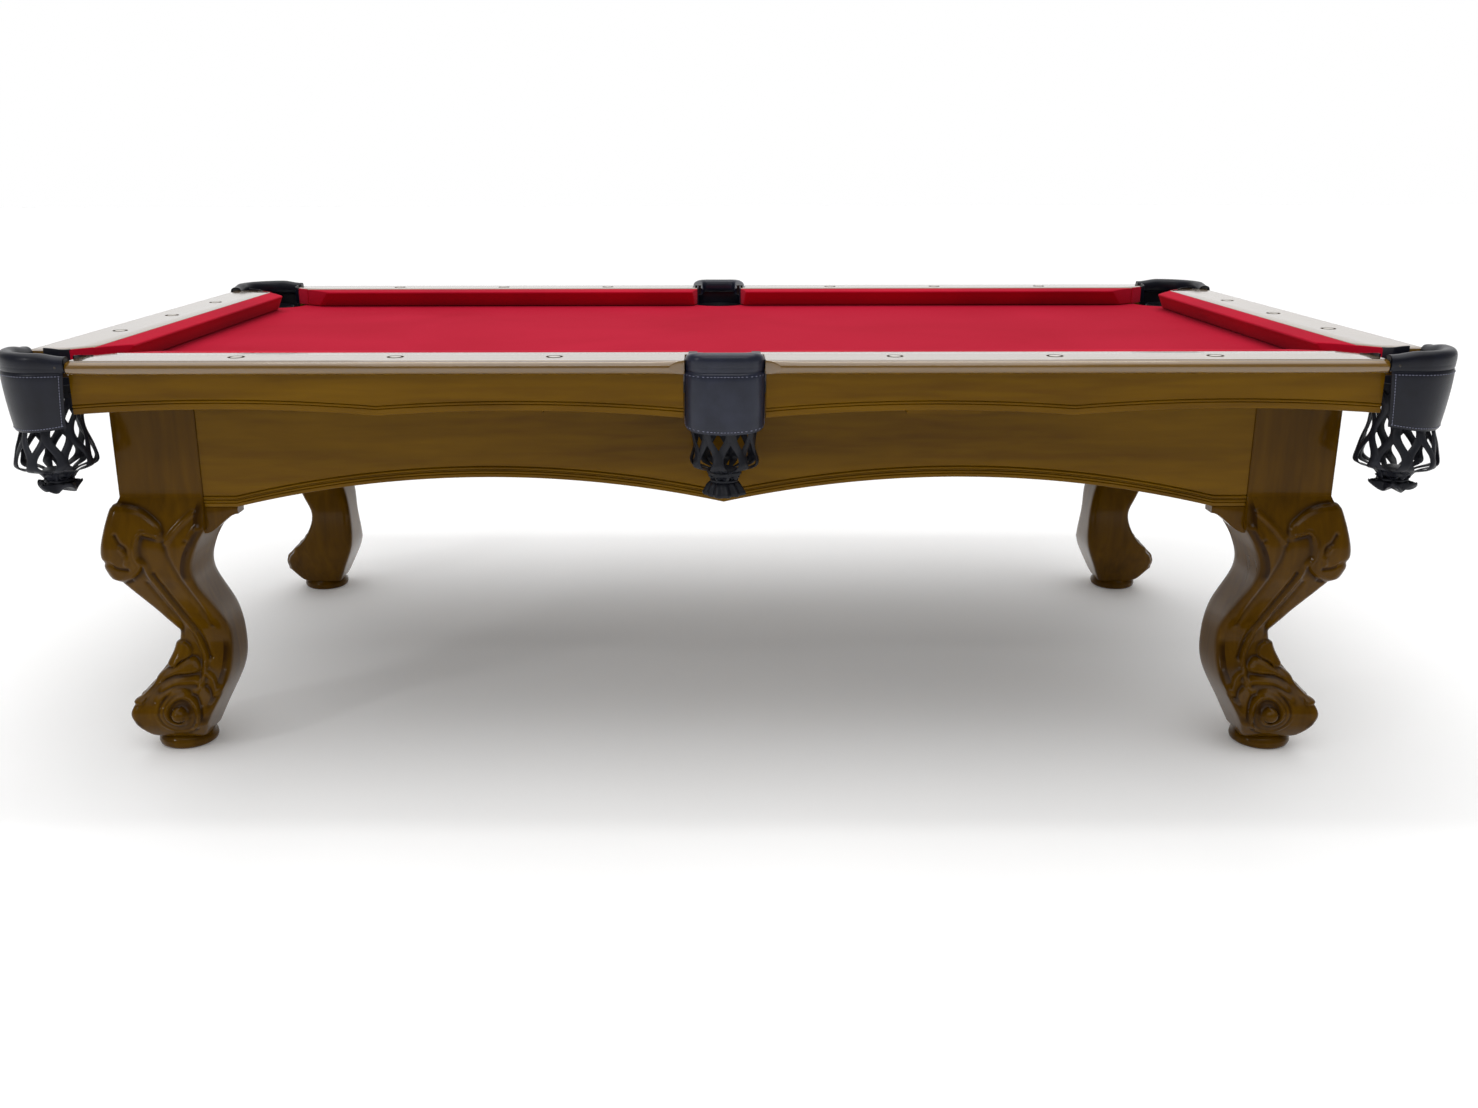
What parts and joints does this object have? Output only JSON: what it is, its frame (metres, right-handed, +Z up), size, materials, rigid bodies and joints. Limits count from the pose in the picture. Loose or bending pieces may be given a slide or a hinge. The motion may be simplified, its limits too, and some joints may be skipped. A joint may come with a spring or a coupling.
{
  "type": "pool table",
  "caption": "Pool table on carved cabriole legs, with a cloth-covered slate bed, cushioned rails, scalloped skirts and leather drop pockets with hanging nets.",
  "frame": {"origin": "on the floor, under the centre of the bed", "axes": "+X along the table's length, +Y across it towards the back, +Z up"},
  "size_m": [2.573, 1.47, 0.806],
  "materials": {
    "walnut_lacquer": "dark olive brown, glossy clear lacquer",
    "rail_lacquer": "dark walnut stain under a deep gloss lacquer",
    "red_cloth": "napped worsted cloth",
    "slate": "honed slate",
    "black_leather": "blue black leather with stitched edges",
    "pocket_iron": "black japanned casting",
    "frame_timber": "planed, unfinished"
  },
  "bodies": {
    "root": {"leg_front_left": "walnut_lacquer", "leg_front_right": "walnut_lacquer", "leg_back_left": "walnut_lacquer", "leg_back_right": "walnut_lacquer", "apron_front": "walnut_lacquer", "apron_back": "walnut_lacquer", "apron_left": "walnut_lacquer", "apron_right": "walnut_lacquer", "centre_beam": "frame_timber", "cross_beam_left": "frame_timber", "cross_beam_right": "frame_timber", "slate_left": "slate", "slate_middle": "slate", "slate_right": "slate", "bed_cloth": "red_cloth", "rail_front_left": "rail_lacquer", "cushion_front_left": "red_cloth", "skirt_front_left": "walnut_lacquer", "rail_front_right": "rail_lacquer", "cushion_front_right": "red_cloth", "skirt_front_right": "walnut_lacquer", "rail_back_left": "rail_lacquer", "cushion_back_left": "red_cloth", "skirt_back_left": "walnut_lacquer", "rail_back_right": "rail_lacquer", "cushion_back_right": "red_cloth", "skirt_back_right": "walnut_lacquer", "rail_left_end": "rail_lacquer", "cushion_left_end": "red_cloth", "skirt_left_end": "walnut_lacquer", "rail_right_end": "rail_lacquer", "cushion_right_end": "red_cloth", "skirt_right_end": "walnut_lacquer", "cleat_front_left": "walnut_lacquer", "cleat_front_right": "walnut_lacquer", "cleat_back_left": "walnut_lacquer", "cleat_back_right": "walnut_lacquer", "pocket_leather_front_left": "black_leather", "pocket_iron_front_left": "pocket_iron", "pocket_net_front_left": "black_leather", "pocket_leather_front_right": "black_leather", "pocket_iron_front_right": "pocket_iron", "pocket_net_front_right": "black_leather", "pocket_leather_back_left": "black_leather", "pocket_iron_back_left": "pocket_iron", "pocket_net_back_left": "black_leather", "pocket_leather_back_right": "black_leather", "pocket_iron_back_right": "pocket_iron", "pocket_net_back_right": "black_leather", "pocket_leather_front_middle": "black_leather", "pocket_iron_front_middle": "pocket_iron", "pocket_net_front_middle": "black_leather", "pocket_leather_back_middle": "black_leather", "pocket_iron_back_middle": "pocket_iron", "pocket_net_back_middle": "black_leather"}
  },
  "joints": []
}
